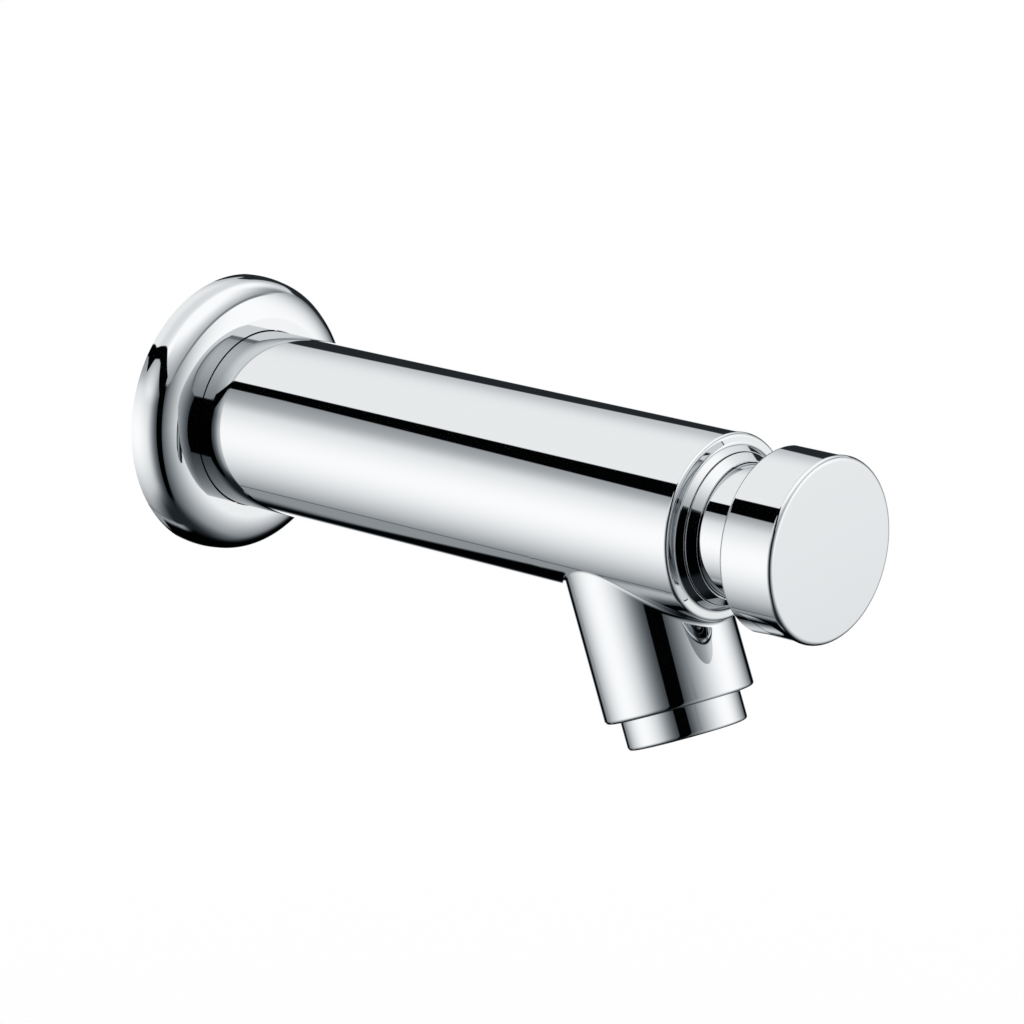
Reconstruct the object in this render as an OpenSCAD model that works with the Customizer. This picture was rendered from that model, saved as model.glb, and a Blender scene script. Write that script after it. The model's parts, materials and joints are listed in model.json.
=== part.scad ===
// Wall-mounted self-closing push tap.
// The origin is the middle of the rosette's back, on the wall. The tap stands out along -Y, +Z is up.
// Lengths called s are distances from the wall along the tap, lengths called l run down the spout.

/* [Wall rosette] */
// Diameter of the rosette
rosette_d = 60; // [54:0.5:70]
// Distance from the wall to the rosette's front face
rosette_h = 9; // [7.5:0.1:12]
// Least straight land at the wall, before the rounded rim
rosette_land = 0.4; // [0.3:0.1:1.5]
// Radius of the rim's side, next to the land
rim_side_r = 13; // [8:0.5:16]
// Radius of the rim's corner
rim_corner_r = 5.8; // [4:0.1:8]
// Radius of the rim's crown, next to the front face
rim_crown_r = 9.5; // [6:0.5:14]
// Thickness of the pressed rosette
rosette_wall = 1.4; // [1:0.1:2]
// Thickness of the soft ring behind the rosette
wall_gasket_t = 1.6; // [1:0.1:2]
// Width of the soft ring behind the rosette
wall_gasket_w = 3; // [2:0.1:4]
// Section diameter of the ring that grips the rosette
grip_ring_t = 1.5; // [1.2:0.1:2]

/* [Body] */
// Outside diameter of the body tube
body_d = 38; // [37:0.5:44]
// Distance from the wall to the front face round the button
body_front = 139.3; // [130:0.1:170]
// Distance from the wall to the body's rear face, filled by the inlet washer
body_rear = 1.5; // [1:0.1:2.4]
// Rounding of the front edge
body_round = 0.8; // [0.4:0.1:2]
// Chamfer of the body's rear edge
body_chamfer = 0.6; // [0.3:0.1:1]
// Diameter of the supply bore behind the cartridge
supply_d = 26; // [25.5:0.1:27]
// Length of the taper from the inlet hole to the supply bore
supply_taper = 4; // [2:0.5:8]

/* [Inlet] */
// Outside diameter of the G 1/2 inlet thread
inlet_d = 20.95; // [19:0.05:24]
// Length of the nipple behind the wall
inlet_out = 13; // [10:0.5:18]
// Length of the nipple inside the body
inlet_in = 16; // [12:0.5:22]
// Bore of the nipple
nipple_bore = 15; // [12:0.5:16]
// Chamfer of the nipple's ends
nipple_chamfer = 0.8; // [0.4:0.1:1.2]
// Depth of the relief between the nipple's two threads
nipple_relief = 0.5; // [0.3:0.1:0.8]
// Outside diameter of the inlet washer
inlet_washer_d = 31; // [27:0.5:34]
// Length of the strainer cup
strainer_len = 16; // [10:0.5:24]
// Wall of the strainer cup
strainer_wall = 0.6; // [0.4:0.1:1]
// Number of slots in the strainer
strainer_slots = 8; // [4:1:10]

/* [Spout] */
// Outside diameter of the spout
spout_d = 31.4; // [29:0.2:35]
// Lean of the spout towards the front
spout_tilt = 22; // [10:1:30]
// Distance from the rounding of the front edge back to the front end of the spout's blend
spout_margin = 0.1; // [0.05:0.05:12]
// Radius of the blend between spout and body
blend_r = 1.2; // [0.8:0.1:2.5]
// Length of the spout from the body's axis to its end
spout_len = 42.1; // [38:0.1:60]
// Rounding of the spout's end
spout_round = 0.9; // [0.4:0.1:1.5]
// Bore of the spout
spout_bore = 21; // [18:0.5:22]

/* [Aerator] */
// Outside diameter of the aerator's ring
aerator_d = 25.2; // [24:0.1:27]
// Length of the ring below the spout
aerator_drop = 6.2; // [4:0.1:9]
// Step from the ring in to its thread
aerator_step = 0.7; // [0.4:0.1:1]
// Length of the aerator's thread
aerator_thread = 8; // [6:0.5:10]
// Wall of the aerator inside its thread
aerator_wall = 1.5; // [1.2:0.1:1.8]
// Rounding of the ring's lower edge
aerator_round = 0.8; // [0.4:0.1:1.2]
// Thickness of the flat ring above the aerator
aerator_gasket_t = 1.5; // [1:0.1:2]
// Side of a hole in the outlet grid
grid_hole = 2; // [1.5:0.1:2.4]
// Web between two holes of the outlet grid
grid_web = 0.7; // [0.5:0.1:1]

/* [Push button] */
// Step from the body's side in to the button's side
button_step = 0.2; // [0:0.1:2]
// Length of the button's head
button_len = 12.9; // [11:0.1:18]
// Gap between the bezel's nose and the button
button_gap = 9.3; // [8.5:0.1:12]
// Rounding of the button's edges
button_round = 1; // [0.4:0.1:2]
// Thickness of the button's front wall
button_wall = 3.5; // [2:0.1:5]
// Diameter of the button's hub
button_hub_d = 13; // [12:0.5:15]
// Outside diameter of the neck
neck_d = 27.1; // [26:0.1:29]
// Wall of the neck
neck_wall = 2.1; // [1.5:0.1:2.5]
// Depth of the neck behind the body's front face
neck_depth = 2.1; // [1.5:0.1:5]
// Travel of the button
button_travel = 6.5; // [4:0.1:7.5]

/* [Bezel] */
// Wall of the bezel ring
bezel_wall = 1.6; // [1.4:0.1:2.2]
// Width of the body's collar at its foot, outside the bezel
collar_w = 1.4; // [1:0.1:2]
// Height of the cone that collar and bezel form above the front face
nose_rise = 3.5; // [2:0.1:4]
// Width of the flat at the tip of the cone
nose_tip = 0.25; // [0.2:0.05:0.5]

/* [Cartridge] */
// Diameter of the spindle in the gland
spindle_d = 8; // [7:0.1:9]
// Step of the spindle at the piston and again at the poppet, on the radius
spindle_step = 0.9; // [0.6:0.05:1]
// Bore that the timing piston runs in
piston_bore = 23; // [21:0.1:24]
// Length of the timing piston
piston_len = 6; // [5.5:0.1:8]
// Height of the piston's seal
lip_len = 3; // [2.5:0.1:3.5]
// Depth of the piston's seal groove
lip_depth = 2.2; // [1.8:0.1:2.6]
// Diameter of the timing needle
needle_d = 2; // [1.5:0.1:2.4]
// Thickness of the cap's flange
cap_flange = 4; // [3.6:0.1:6]
// Length of the cap's spigot in the sleeve
cap_spigot = 3.5; // [3.2:0.1:5]
// Length of the spindle's guide bush
bush_len = 6; // [4:0.1:7]
// Wall of the spindle's guide bush
bush_wall = 2.2; // [1.8:0.1:2.6]
// Length of an outlet window
window_len = 9; // [7:0.1:11]
// Width of an outlet window
window_w = 10; // [7:0.1:12]
// Number of outlet windows
window_count = 4; // [3:1:5]
// Wall of the sleeve behind the windows' groove
sleeve_thin = 1.9; // [1.4:0.1:2.2]
// Floor of the sleeve
sleeve_floor = 3.8; // [3:0.1:6]
// Length of the sleeve's rear skirt
skirt_len = 6; // [5:0.1:9]
// Wall of the sleeve's rear skirt
skirt_wall = 2.1; // [1.5:0.1:2.3]
// Thickness of the cartridge's face seal
cartridge_gasket_t = 1.2; // [0.8:0.1:2]

/* [Valve] */
// Hole through the valve seat
seat_hole = 11; // [9.5:0.1:11.5]
// Wall of the seat's thread
seat_wall = 3; // [2.4:0.1:3.2]
// Thickness of the seat's flange
seat_flange = 1.4; // [1:0.1:2]
// Height of the seat's lip
seat_lip = 0.8; // [0.5:0.1:1.2]
// Thickness of the valve washer
washer_t = 2.5; // [2:0.1:3.5]
// Thickness of the poppet's disc
poppet_t = 3; // [2:0.1:4]
// Length of the poppet's spring spigot
poppet_spigot = 4; // [3:0.1:5]
// Height of the poppet's nut
poppet_nut_h = 3.2; // [2.5:0.1:4]
// Height of the button's lock nut
lock_nut_h = 2.8; // [2.2:0.1:3.5]

/* [Return spring] */
// Wire of the return spring
spring_wire = 1.2; // [0.8:0.1:1.4]
// Mean diameter of the return spring
spring_d = 12.6; // [12.2:0.1:13.2]
// Length of the return spring with the valve closed
spring_len = 20; // [18:0.5:26]
// Turns of the return spring
spring_turns = 7; // [5:0.5:8]
// Floor of the spring cage
cage_floor = 2.2; // [1.5:0.1:3]
// Wall of the spring cage
cage_wall = 1.4; // [1:0.1:1.8]
// Number of slots in the spring cage
cage_slots = 4; // [3:1:6]
// Width of a slot in the spring cage
cage_slot_w = 6; // [4:0.1:7]

/* [Clearances] */
// Radial clearance of screwed and seated pieces
fit_clear = 0.1; // [0.05:0.01:0.2]
// Radial clearance of the spindle and the piston's seal
run_clear = 0.05; // [0.03:0.01:0.1]
// Radial clearance of the neck in the bezel
neck_clear = 0.15; // [0.1:0.05:0.3]
// Radial clearance of the rosette on the body
rosette_clear = 0.2; // [0.1:0.05:0.4]
// Radial clearance of the cartridge in the body
cartridge_clear = 0.25; // [0.15:0.05:0.4]
// Radial clearance of the piston and of pieces inside one another
guide_clear = 0.3; // [0.2:0.05:0.5]
// Room left behind a moving piece at the end of its travel
stop_gap = 0.8; // [0.5:0.1:1.5]
// Gap between the closed washer and the seat's lip
seat_gap = 0.1; // [0.05:0.05:0.3]

/* [Hidden] */
$fn = 96;
over = 1;
chrome = [0.86, 0.87, 0.89];
brass = [0.80, 0.66, 0.36];
steel = [0.68, 0.69, 0.71];
rubber = [0.16, 0.16, 0.17];
white_plastic = [0.93, 0.93, 0.91];
grey_plastic = [0.55, 0.57, 0.60];

// Rosette
rosette_r = rosette_d / 2;
rosette_hub_r = body_d / 2 + rosette_clear;
// Turns of the rim's skin where its side meets its corner, and its corner its crown
corner_from = asin(0.28);
corner_to = asin(0.8);
rim_rise = rim_side_r * sin(corner_from) + rim_corner_r * (sin(corner_to) - sin(corner_from))
    + rim_crown_r * (1 - sin(corner_to));
rim_run = rim_side_r * (1 - cos(corner_from)) + rim_corner_r * (cos(corner_from) - cos(corner_to))
    + rim_crown_r * cos(corner_to);
rim_room_h = rosette_h - rosette_land;
rim_room_r = rosette_r - rosette_hub_r - rosette_wall;
rim_share = min(1, rim_room_h / rim_rise, rim_room_r / rim_run);
side_r = rim_share * rim_side_r;
corner_r = rim_share * rim_corner_r;
crown_r = rim_share * rim_crown_r;
rosette_side = rosette_h - rim_share * rim_rise;
side_mid = [rosette_r - side_r, rosette_side];
corner_mid = side_mid + (side_r - corner_r) * [cos(corner_from), sin(corner_from)];
crown_mid = corner_mid + (corner_r - crown_r) * [cos(corner_to), sin(corner_to)];
grip_floor_r = rosette_hub_r - grip_ring_t - 2 * run_clear;
grip_at = rosette_h / 2 + body_rear / 2;
grip_w = grip_ring_t + 4 * run_clear;

// Front of the body, button and bezel
body_r = body_d / 2;
button_r = body_r - button_step;
neck_r = neck_d / 2;
neck_in_r = neck_r - neck_wall;
bezel_in_r = neck_r + neck_clear;
bezel_r = bezel_in_r + bezel_wall;
bezel_front = body_front + nose_rise;
nose_r = bezel_r + collar_w;
nose_tip_r = bezel_in_r + nose_tip;
function nose_at(r) = body_front + nose_rise * (nose_r - r) / (nose_r - nose_tip_r);
button_rear = bezel_front + button_gap;
button_front = button_rear + button_len;
neck_rear = body_front - neck_depth;
button_floor = button_front - button_wall;
hub_r = button_hub_d / 2;

// Cartridge, from the front to the rear
bore_r = bezel_r + fit_clear;
cartridge_r = bore_r - cartridge_clear;
cap_front = neck_rear - button_travel - stop_gap;
cap_rear = cap_front - cap_flange;
spigot_rear = cap_rear - cap_spigot;
piston_front = spigot_rear - stop_gap;
piston_rear = piston_front - piston_len;
lip_front = piston_front - (piston_len - lip_len) / 2;
lip_rear = lip_front - lip_len;
window_front = lip_rear - button_travel - stop_gap;
window_rear = window_front - window_len;
groove_lead = 2;
groove_tail = 0.6;
window_sill = 1;
groove_front = window_front + groove_lead;
groove_rear = window_rear - groove_tail;
floor_front = window_rear - window_sill;
sleeve_rear = floor_front - sleeve_floor;
skirt_rear = sleeve_rear - skirt_len;
shoulder = sleeve_rear - cartridge_gasket_t;
piston_bore_r = piston_bore / 2;
piston_r = piston_bore_r - guide_clear;
lip_r = piston_bore_r - run_clear;
lip_floor_r = piston_r - lip_depth;
groove_r = piston_bore_r + sleeve_thin;
spigot_r = piston_bore_r - fit_clear;
boss_r = neck_in_r - stop_gap;
supply_r = supply_d / 2;
skirt_r = supply_r - guide_clear;
skirt_in_r = skirt_r - skirt_wall;

// Spindle and gland
spindle_r = spindle_d / 2;
spindle_mid_r = spindle_r - spindle_step;
spindle_tail_r = spindle_mid_r - spindle_step;
hub_gap = 2;
lock_nut_wall = 3.5;
spindle_front = button_floor - hub_gap;
nut_rear = button_rear - lock_nut_h;
boss_front = nut_rear - button_travel - stop_gap;
gland_r = spindle_r + bush_wall;
gland_ring_t = bush_wall - 2 * run_clear;
bush_rear = boss_front - bush_len;
gland_rear = bush_rear - gland_ring_t - 4 * run_clear;
clip_t = 0.8;
clip_flange = 2;
clip_grip = 0.45;
clip_r = spindle_mid_r + clip_flange;
needle_at = (spindle_mid_r + lip_floor_r) / 2;
needle_tip = 0.5;
needle_sink = 0.3;
lip_notch_w = 1;

// O-rings between flat-bottomed grooves and plain bores
cartridge_ring_t = 1.6;
cap_ring_t = 1.5;
cartridge_groove_r = bore_r - cartridge_ring_t - 2 * run_clear;
cap_groove_r = piston_bore_r - cap_ring_t - 2 * run_clear;

// Valve, from the seat to the rear
seat_r = seat_hole / 2;
seat_thread_r = seat_r + seat_wall;
seat_flange_r = skirt_in_r - guide_clear;
seat_flange_rear = sleeve_rear - seat_flange;
seat_rear = seat_flange_rear - seat_lip;
washer_front = seat_rear - seat_gap;
washer_rear = washer_front - washer_t;
poppet_rear = washer_rear - poppet_t;
poppet_tail = poppet_rear - poppet_spigot;
spindle_end = 1.4;
spindle_rear = poppet_tail - poppet_nut_h - spindle_end;
washer_cover = 1.9;
washer_r = seat_r + washer_cover;
washer_proud = 0.9;
poppet_rim = 0.7;
poppet_nut_wall = 2;
poppet_r = washer_r + fit_clear + poppet_rim;
poppet_spigot_r = spring_d / 2 - spring_wire / 2 - stop_gap;
cage_r = skirt_in_r - fit_clear;
cage_in_r = cage_r - cage_wall;
cage_front = seat_flange_rear - fit_clear;
cage_inside = poppet_rear - spring_len;
cage_rear = cage_inside - cage_floor;
cage_seat_w = 1.2;
cage_hole_r = spring_d / 2 - spring_wire / 2 - cage_seat_w;
cage_slot_end = 2;

// Inlet
inlet_r = inlet_d / 2;
inlet_hole_r = inlet_r + fit_clear;
inlet_runout = 2;
inlet_end = body_rear + inlet_in + inlet_runout;
strainer_flange = 1.4;
strainer_lip = 1.2;
strainer_flange_r = nipple_bore / 2 + strainer_lip;
strainer_r = nipple_bore / 2 - guide_clear;
strainer_front = strainer_len - inlet_out;

// Spout, whose blend is the path of a ball that touches the body and the spout
spout_r = spout_d / 2;
ball_body_r = body_r + blend_r;
ball_spout_r = spout_r + blend_r;
function ball_l(a) = (sqrt(pow(ball_body_r, 2) - pow(ball_spout_r * cos(a), 2))
    - ball_spout_r * sin(a) * sin(spout_tilt)) / cos(spout_tilt);
blend_reach = ball_l(-90) * sin(spout_tilt) + ball_spout_r * cos(spout_tilt);
spout_at = body_front - body_round - spout_margin - blend_reach;
spout_dir = [0, -sin(spout_tilt), -cos(spout_tilt)];
spout_side = [0, cos(spout_tilt), -sin(spout_tilt)];
spout_start = [0, -spout_at, 0];
blend_sink = 0.06;
blend_sides = 48;
blend_steps = 5;
function spout_out(a) = cos(a) * [1, 0, 0] + sin(a) * spout_side;
function spout_point(a, r, l) = spout_start + l * spout_dir + r * spout_out(a);
function toward_body(c) = -[c[0], 0, c[2]] / norm([c[0], c[2]]);
function blend_arc(a, w) = let (c = spout_point(a, ball_spout_r, ball_l(a)),
    d = (1 - w) * toward_body(c) - w * spout_out(a)) c + blend_r * d / norm(d);
function blend_section(a) = let (c = spout_point(a, ball_spout_r, ball_l(a))) concat(
    [spout_point(a, spout_r - blend_r, ball_l(a) - 2 * blend_r)],
    [c + (blend_r + blend_sink) * toward_body(c)],
    [for (i = [1 : blend_steps - 1]) blend_arc(a, i / blend_steps)],
    [spout_point(a, spout_r - blend_sink, ball_l(a))]);

// Aerator
aerator_r = aerator_d / 2;
aerator_thread_r = aerator_r - aerator_step;
aerator_hole_r = aerator_thread_r + fit_clear;
aerator_in_r = aerator_thread_r - aerator_wall;
aerator_top = spout_len - aerator_thread;
aerator_end = spout_len + aerator_drop;
aerator_ledge = aerator_top - aerator_gasket_t;
aerator_lip = 1.4;
insert_r = aerator_in_r - fit_clear;
insert_end = aerator_end - aerator_lip;
grid_t = 2;
screen_t = 0.4;
screen_gap = 0.2;
regulator_t = 3;
regulator_top = aerator_top + screen_gap;
screen_top = regulator_top + regulator_t + screen_gap;
screen_count = 2;
screen_hole = 1.4;
screen_web = 0.5;
insert_top = screen_top + screen_count * (screen_t + screen_gap);
insert_wall = 1;
jet_count = 12;
jet_ring_d = 13.4;
jet_d = 1.6;
regulator_holes = 8;
regulator_ring_d = 12.4;
regulator_hole_d = 2.8;
regulator_dish_d = 6.2;

// Return spring: one tube of rings round the helix
ring_sides = 6;
rings_per_turn = 8;
spring_rings = ceil(spring_turns * rings_per_turn);
spring_bottom = cage_inside + spring_wire / 2;
spring_top = poppet_rear - spring_wire / 2;
function helix(i) = let (a = 360 * spring_turns * i / spring_rings)
    [spring_d / 2 * cos(a), spring_d / 2 * sin(a),
     spring_bottom + (spring_top - spring_bottom) * i / spring_rings];
function helix_ring(i) = let (a = 360 * spring_turns * i / spring_rings)
    [for (k = [0 : ring_sides - 1]) let (b = 360 * k / ring_sides, w = spring_wire / 2)
        helix(i) + [w * cos(b) * cos(a), w * cos(b) * sin(a), w * sin(b)]];
spring_gap = min([for (i = [0 : spring_rings]) for (j = [i + rings_per_turn / 2 : 1 : spring_rings])
    norm(helix(i) - helix(j)) - spring_wire]);
echo(spring_least_gap = spring_gap);

// Placing: local +Z becomes the way out from the wall, or the way down the spout
module along_tap() { rotate([90, 0, 0]) children(); }
module along_spout() { translate([0, -spout_at, 0]) rotate([180 - spout_tilt, 0, 0]) children(); }
module turned() { along_tap() rotate_extrude() children(); }
module spout_turned() { along_spout() rotate_extrude() children(); }

// Sections: first the radius, then the distance along the axis
module band(r_in, r_out, low, high) {
    translate([r_in, low]) square([r_out - r_in, high - low]);
}
// What an outside edge at (r, at) loses to its rounding, with side 1 at the far end and -1 at the near end
module edge_loss(r, at, round, side) {
    difference() {
        translate([r - round, side > 0 ? at - round : at - over]) square(round + over);
        translate([r - round, at - side * round]) circle(round);
    }
}
module ring_section(mid_r, section, at) {
    translate([mid_r, at]) circle(section / 2, $fn = 32);
}
module around(count, first = 0) {
    for (i = [0 : count - 1]) rotate([0, 0, first + 360 * i / count]) children();
}
module square_holes(r, hole, web) {
    pitch = hole + web;
    reach = floor(r / pitch);
    for (i = [-reach : reach]) for (j = [-reach : reach])
        if (norm([i, j]) * pitch + hole / sqrt(2) < r)
            translate([i * pitch, j * pitch]) square(hole, center = true);
}

// Filled section under the rosette's three arcs, set in from its skin
module rim_section(inset, low) {
    corner_end = corner_mid + (corner_r - inset) * [cos(corner_from), sin(corner_from)];
    crown_end = crown_mid + (crown_r - inset) * [cos(corner_to), sin(corner_to)];
    band(rosette_hub_r, crown_mid[0], low, rosette_h - inset);
    band(rosette_hub_r, rosette_r - inset, low, rosette_side);
    intersection() {
        translate(crown_mid) circle(crown_r - inset);
        band(rosette_hub_r, crown_end[0], low, rosette_h);
    }
    intersection() {
        translate(corner_mid) circle(corner_r - inset);
        band(rosette_hub_r, rosette_r, low, rosette_h);
    }
    intersection() {
        translate(side_mid) circle(side_r - inset);
        band(rosette_hub_r, rosette_r, low, corner_end[1]);
    }
}

module wall_rosette() {
    hub_wall_r = rosette_hub_r + rosette_wall;
    color(chrome) turned() difference() {
        rim_section(0, 0);
        intersection() {
            rim_section(rosette_wall, -over);
            band(hub_wall_r, rosette_r, -over, rosette_h);
        }
        band(0, hub_wall_r + over, -over, body_rear + body_chamfer);
    }
}

module rosette_gasket() {
    outer = rosette_r - rosette_wall - guide_clear;
    color(rubber) turned() band(outer - wall_gasket_w, outer, 0, wall_gasket_t);
}

module rosette_o_ring() {
    color(rubber) turned() ring_section((grip_floor_r + rosette_hub_r) / 2, grip_ring_t, grip_at);
}

module tap_body() {
    color(chrome) difference() {
        union() {
            turned() difference() {
                polygon([[0, body_rear], [body_r - body_chamfer, body_rear],
                         [body_r, body_rear + body_chamfer], [body_r, body_front],
                         [nose_r, body_front], [bore_r, nose_at(bore_r)], [0, nose_at(bore_r)]]);
                edge_loss(body_r, body_front, body_round, 1);
                band(grip_floor_r, body_r + over, grip_at - grip_w / 2, grip_at + grip_w / 2);
            }
            spout_turned() difference() {
                band(0, spout_r, 0, spout_len);
                edge_loss(spout_r, spout_len, spout_round, 1);
            }
            spout_blend();
        }
        turned() polygon([
            [0, body_rear - over], [inlet_hole_r, body_rear - over], [inlet_hole_r, inlet_end],
            [supply_r, inlet_end + supply_taper], [supply_r, shoulder], [bore_r, shoulder],
            [bore_r, bezel_front], [0, bezel_front]
        ]);
        spout_turned() {
            band(0, spout_bore / 2, 0, aerator_ledge + over / 2);
            band(0, aerator_hole_r, aerator_ledge, spout_len + over);
        }
    }
}

module spout_blend() {
    sides = blend_steps + 2;
    points = [for (i = [0 : blend_sides - 1]) each blend_section(360 * i / blend_sides)];
    faces = [for (i = [0 : blend_sides - 1]) for (k = [0 : sides - 1])
        let (a = i * sides, b = ((i + 1) % blend_sides) * sides, n = (k + 1) % sides)
        each [[a + k, a + n, b + k], [a + n, b + n, b + k]]];
    polyhedron(points, faces);
}

module inlet_nipple() {
    front = body_rear + inlet_in;
    tip = inlet_r - nipple_chamfer;
    color(brass) turned() difference() {
        polygon([[nipple_bore / 2, -inlet_out], [tip, -inlet_out], [inlet_r, nipple_chamfer - inlet_out],
                 [inlet_r, front - nipple_chamfer], [tip, front], [nipple_bore / 2, front]]);
        band(0, strainer_flange_r + fit_clear, -inlet_out - over, strainer_flange - inlet_out);
        band(inlet_r - nipple_relief, inlet_r + over, 0, body_rear);
    }
}

module inlet_washer() {
    color(rubber) turned() band(inlet_r + fit_clear, inlet_washer_d / 2, 0, body_rear);
}

module inlet_strainer() {
    slot_w = strainer_r * PI / strainer_slots;
    color(steel) along_tap() difference() {
        rotate_extrude() {
            band(strainer_r - strainer_wall, strainer_flange_r, -inlet_out, strainer_flange - inlet_out);
            band(strainer_r - strainer_wall, strainer_r, -inlet_out, strainer_front);
            band(0, strainer_r, strainer_front - strainer_wall, strainer_front);
        }
        around(strainer_slots) translate([0, -slot_w / 2, 2 * strainer_flange - inlet_out])
            cube([strainer_r + over, slot_w, strainer_len - 3 * strainer_flange]);
    }
}

module front_bezel() {
    color(chrome) turned() polygon([
        [bezel_in_r, cap_front], [bezel_r, cap_front], [bezel_r, nose_at(bezel_r)],
        [nose_tip_r, bezel_front], [bezel_in_r, bezel_front]
    ]);
}

module push_button() {
    color(chrome) turned() difference() {
        union() {
            band(0, button_r, button_rear, button_front);
            band(neck_in_r, neck_r, neck_rear, button_rear + over);
        }
        edge_loss(button_r, button_front, button_round, 1);
        edge_loss(button_r, button_rear, button_round, -1);
        band(hub_r, neck_in_r, neck_rear - over, button_floor);
        band(0, spindle_r + fit_clear, neck_rear - over, button_floor - hub_gap / 2);
    }
}

module hex_nut(across_corners, hole_r, low, high) {
    along_tap() difference() {
        translate([0, 0, low]) cylinder(h = high - low, d = across_corners, $fn = 6);
        translate([0, 0, low - over]) cylinder(h = high - low + 2 * over, r = hole_r);
    }
}

module lock_nut() {
    color(steel) hex_nut(2 * (spindle_r + lock_nut_wall), spindle_r + fit_clear, nut_rear, button_rear);
}

module spindle() {
    color(steel) turned() polygon([
        [0, spindle_rear], [spindle_tail_r, spindle_rear], [spindle_tail_r, washer_front],
        [spindle_mid_r, washer_front], [spindle_mid_r, piston_rear - clip_t - fit_clear],
        [spindle_tail_r, piston_rear - clip_t - fit_clear], [spindle_tail_r, piston_rear],
        [spindle_mid_r, piston_rear], [spindle_mid_r, piston_front], [spindle_r, piston_front],
        [spindle_r, spindle_front], [0, spindle_front]
    ]);
}

module cartridge_sleeve() {
    color(grey_plastic) along_tap() difference() {
        rotate_extrude() polygon([
            [skirt_in_r, skirt_rear], [skirt_r, skirt_rear], [skirt_r, sleeve_rear],
            [cartridge_r, sleeve_rear], [cartridge_r, groove_rear], [groove_r, groove_rear],
            [groove_r, groove_front], [cartridge_r, groove_front], [cartridge_r, cap_rear],
            [piston_bore_r, cap_rear], [piston_bore_r, floor_front],
            [seat_thread_r + fit_clear, floor_front], [seat_thread_r + fit_clear, sleeve_rear],
            [skirt_in_r, sleeve_rear]
        ]);
        around(window_count, -90) translate([0, -window_w / 2, window_rear])
            cube([cartridge_r + over, window_w, window_len]);
    }
}

module cartridge_cap() {
    ring_at = (cap_front + cap_rear) / 2;
    seal_at = (cap_rear + spigot_rear) / 2;
    ring_w = cartridge_ring_t / 2 + 2 * run_clear;
    seal_w = cap_ring_t / 2 + 2 * run_clear;
    color(brass) turned() difference() {
        union() {
            band(spindle_r + run_clear, spigot_r, spigot_rear, cap_front);
            band(spindle_r + run_clear, cartridge_r, cap_rear, cap_front);
            band(spindle_r + run_clear, boss_r, cap_front - over, boss_front);
        }
        band(cartridge_groove_r, cartridge_r + over, ring_at - ring_w, ring_at + ring_w);
        band(cap_groove_r, spigot_r + over, seal_at - seal_w, seal_at + seal_w);
        band(0, gland_r, gland_rear, boss_front + over);
    }
}

module cartridge_gasket() {
    color(rubber) turned() band(supply_r + fit_clear, cartridge_r, shoulder, sleeve_rear);
}

module cartridge_o_ring() {
    color(rubber) turned()
        ring_section((cartridge_groove_r + bore_r) / 2, cartridge_ring_t, (cap_front + cap_rear) / 2);
}

module cap_o_ring() {
    color(rubber) turned()
        ring_section((cap_groove_r + piston_bore_r) / 2, cap_ring_t, (cap_rear + spigot_rear) / 2);
}

module spindle_o_ring() {
    color(rubber) turned()
        ring_section((spindle_r + gland_r) / 2, gland_ring_t, (gland_rear + bush_rear) / 2);
}

module spindle_bush() {
    color(white_plastic) turned()
        band(spindle_r + run_clear, gland_r - run_clear, bush_rear, boss_front);
}

module timing_piston() {
    color(white_plastic) along_tap() difference() {
        rotate_extrude() difference() {
            band(spindle_mid_r + fit_clear, piston_r, piston_rear, piston_front);
            band(lip_floor_r, piston_r + over, lip_rear - fit_clear, lip_front + fit_clear);
        }
        translate([needle_at, 0, piston_rear - over])
            cylinder(h = piston_len + 2 * over, r = needle_d / 2 + fit_clear);
    }
}

module piston_lip_seal() {
    heel = lip_floor_r + fit_clear;
    middle = (lip_r + heel) / 2;
    color(rubber) turned() polygon([
        [heel, lip_rear], [lip_r - 2 * guide_clear, lip_rear], [lip_r, lip_front - 2 * guide_clear],
        [lip_r - guide_clear, lip_front], [middle + lip_notch_w / 2, lip_front],
        [middle, lip_rear + lip_len / 2], [middle - lip_notch_w / 2, lip_front], [heel, lip_front]
    ]);
}

module piston_clip() {
    mouth = 2 * (spindle_tail_r - clip_grip);
    low = piston_rear - clip_t - fit_clear / 2;
    color(steel) along_tap() difference() {
        translate([0, 0, low]) cylinder(h = clip_t, r = clip_r);
        translate([0, 0, low - over]) cylinder(h = clip_t + 2 * over, r = spindle_tail_r + fit_clear);
        translate([0, -mouth / 2, low - over]) cube([clip_r + over, mouth, clip_t + 2 * over]);
    }
}

module timing_needle() {
    color(steel) along_tap() translate([needle_at, 0, 0]) rotate_extrude() polygon([
        [0, piston_rear + needle_tip], [needle_d / 4, piston_rear + needle_tip],
        [needle_d / 2, piston_rear + piston_len / 2], [needle_d / 2, piston_front - needle_sink],
        [0, piston_front - needle_sink]
    ]);
}

module valve_seat() {
    lip_mid = seat_r + seat_lip;
    color(brass) turned() polygon([
        [seat_r, floor_front], [seat_thread_r, floor_front], [seat_thread_r, sleeve_rear],
        [seat_flange_r, sleeve_rear], [seat_flange_r, seat_flange_rear],
        [lip_mid + seat_lip, seat_flange_rear], [lip_mid, seat_rear], [seat_r, seat_rear]
    ]);
}

module poppet() {
    rim_top = washer_front - washer_proud;
    color(brass) turned() {
        band(spindle_tail_r + fit_clear, poppet_r, poppet_rear, washer_rear);
        band(poppet_r - poppet_rim, poppet_r, washer_rear - poppet_t / 2, rim_top);
        band(spindle_tail_r + fit_clear, poppet_spigot_r, poppet_tail, poppet_rear + poppet_t / 2);
    }
}

module poppet_washer() {
    color(rubber) turned() band(spindle_tail_r + fit_clear, washer_r, washer_rear, washer_front);
}

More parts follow.
